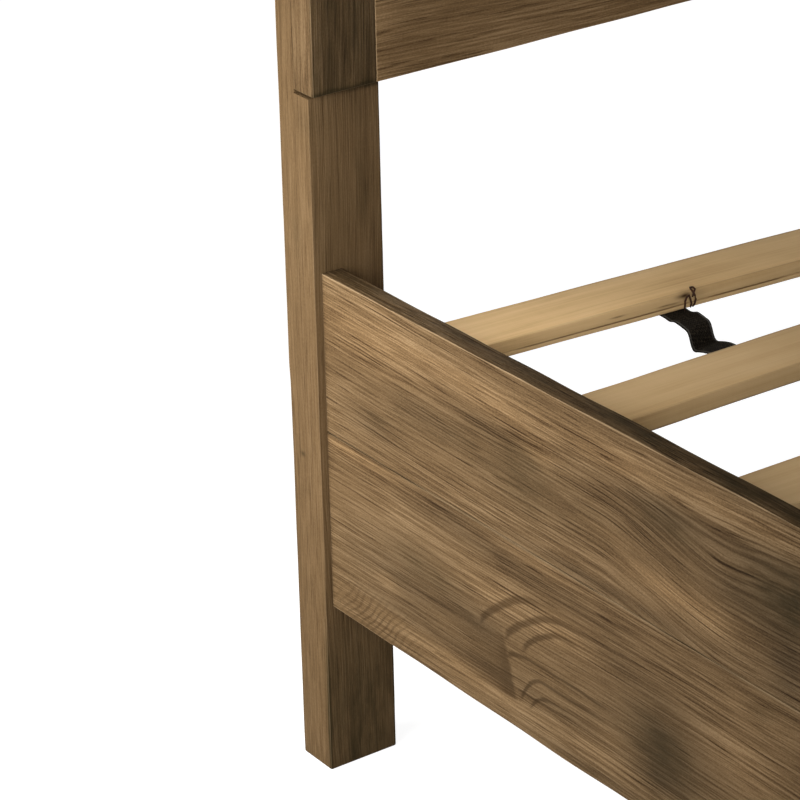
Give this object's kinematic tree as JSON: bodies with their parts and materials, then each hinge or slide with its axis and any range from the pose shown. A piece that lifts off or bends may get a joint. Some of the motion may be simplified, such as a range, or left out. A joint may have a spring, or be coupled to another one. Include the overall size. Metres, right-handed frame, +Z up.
{
  "type": "bed frame",
  "caption": "Wooden platform bed frame with a boarded headboard, deep side rails, a low foot rail, a strapped slat roll and a centre beam on levelling feet.",
  "frame": {"origin": "on the floor under the middle of the frame's outer box", "axes": "+Z up, +Y towards the headboard, and +X across the bed, to the right for someone who stands at the foot and looks at the headboard"},
  "size_m": [1.5894, 2.132, 1.2],
  "materials": {
    "brushed_oak": "brown stained, wire-brushed open grain, matt lacquer",
    "slat_pine": "bare sawn softwood",
    "zinc_steel": "dull zinc plate",
    "black_webbing": "woven black webbing",
    "pad_plastic": "moulded black plastic"
  },
  "bodies": {
    "frame": {"head_leg_left": "brushed_oak", "head_leg_right": "brushed_oak", "foot_leg_left": "brushed_oak", "foot_leg_right": "brushed_oak", "headboard_stile_left": "brushed_oak", "headboard_stile_right": "brushed_oak", "headboard_plank_1": "brushed_oak", "headboard_plank_2": "brushed_oak", "headboard_plank_3": "brushed_oak", "headboard_plank_4": "brushed_oak", "headboard_batten_left": "brushed_oak", "headboard_batten_right": "brushed_oak", "headboard_cap": "brushed_oak", "side_rail_left_lower": "brushed_oak", "side_rail_right_lower": "brushed_oak", "foot_board_lower": "brushed_oak", "side_rail_left_upper": "brushed_oak", "side_rail_right_upper": "brushed_oak", "foot_board_upper": "brushed_oak", "slat_ledge_left": "slat_pine", "slat_ledge_right": "slat_pine", "centre_beam": "slat_pine", "beam_hanger": "zinc_steel", "centre_leg_1": "slat_pine", "centre_leg_2": "slat_pine", "centre_leg_3": "slat_pine", "corner_bracket_head_left": "zinc_steel", "corner_bracket_head_right": "zinc_steel", "corner_bracket_foot_left": "zinc_steel", "corner_bracket_foot_right": "zinc_steel", "bracket_bolt_head_left_1": "zinc_steel", "bracket_bolt_head_left_2": "zinc_steel", "bracket_bolt_head_right_1": "zinc_steel", "bracket_bolt_head_right_2": "zinc_steel", "bracket_bolt_foot_left_1": "zinc_steel", "bracket_bolt_foot_left_2": "zinc_steel", "bracket_bolt_foot_right_1": "zinc_steel", "bracket_bolt_foot_right_2": "zinc_steel"},
    "slat_roll": {"slat_01": "slat_pine", "slat_02": "slat_pine", "slat_03": "slat_pine", "slat_04": "slat_pine", "slat_05": "slat_pine", "slat_06": "slat_pine", "slat_07": "slat_pine", "slat_08": "slat_pine", "slat_09": "slat_pine", "slat_10": "slat_pine", "slat_11": "slat_pine", "slat_12": "slat_pine", "slat_strap_left": "black_webbing", "slat_strap_right": "black_webbing"},
    "level_foot_1": {"level_pad_1": "pad_plastic"},
    "level_screw_1": {"level_stem_1": "zinc_steel"},
    "level_foot_2": {"level_pad_2": "pad_plastic"},
    "level_screw_2": {"level_stem_2": "zinc_steel"},
    "level_foot_3": {"level_pad_3": "pad_plastic"},
    "level_screw_3": {"level_stem_3": "zinc_steel"}
  },
  "joints": [
    {"name": "slat_roll_lift", "type": "slide", "parent": "frame", "child": "slat_roll", "axis": [0, 0, 1], "range_m": [0, 0.4]},
    {"name": "level_foot_1_slide", "type": "slide", "parent": "frame", "child": "level_foot_1", "axis": [0, 0, -1], "range_m": [-0.008, 0.015]},
    {"name": "level_screw_1_turn", "type": "hinge", "parent": "level_foot_1", "child": "level_screw_1", "pos_m": [0, -0.62, 0.02], "axis": [0, 0, -1], "range_deg": [-2310, 4330]},
    {"name": "level_foot_2_slide", "type": "slide", "parent": "frame", "child": "level_foot_2", "axis": [0, 0, -1], "range_m": [-0.008, 0.015]},
    {"name": "level_screw_2_turn", "type": "hinge", "parent": "level_foot_2", "child": "level_screw_2", "pos_m": [0, 0.12, 0.02], "axis": [0, 0, -1], "range_deg": [-2310, 4330]},
    {"name": "level_foot_3_slide", "type": "slide", "parent": "frame", "child": "level_foot_3", "axis": [0, 0, -1], "range_m": [-0.008, 0.015]},
    {"name": "level_screw_3_turn", "type": "hinge", "parent": "level_foot_3", "child": "level_screw_3", "pos_m": [0, 0.86, 0.02], "axis": [0, 0, -1], "range_deg": [-2310, 4330]}
  ],
  "couplings": [
    {"joint": "level_screw_1_turn", "follows": "level_foot_1_slide", "rad_per_m": 5026.5},
    {"joint": "level_screw_2_turn", "follows": "level_foot_2_slide", "rad_per_m": 5026.5},
    {"joint": "level_screw_3_turn", "follows": "level_foot_3_slide", "rad_per_m": 5026.5}
  ]
}
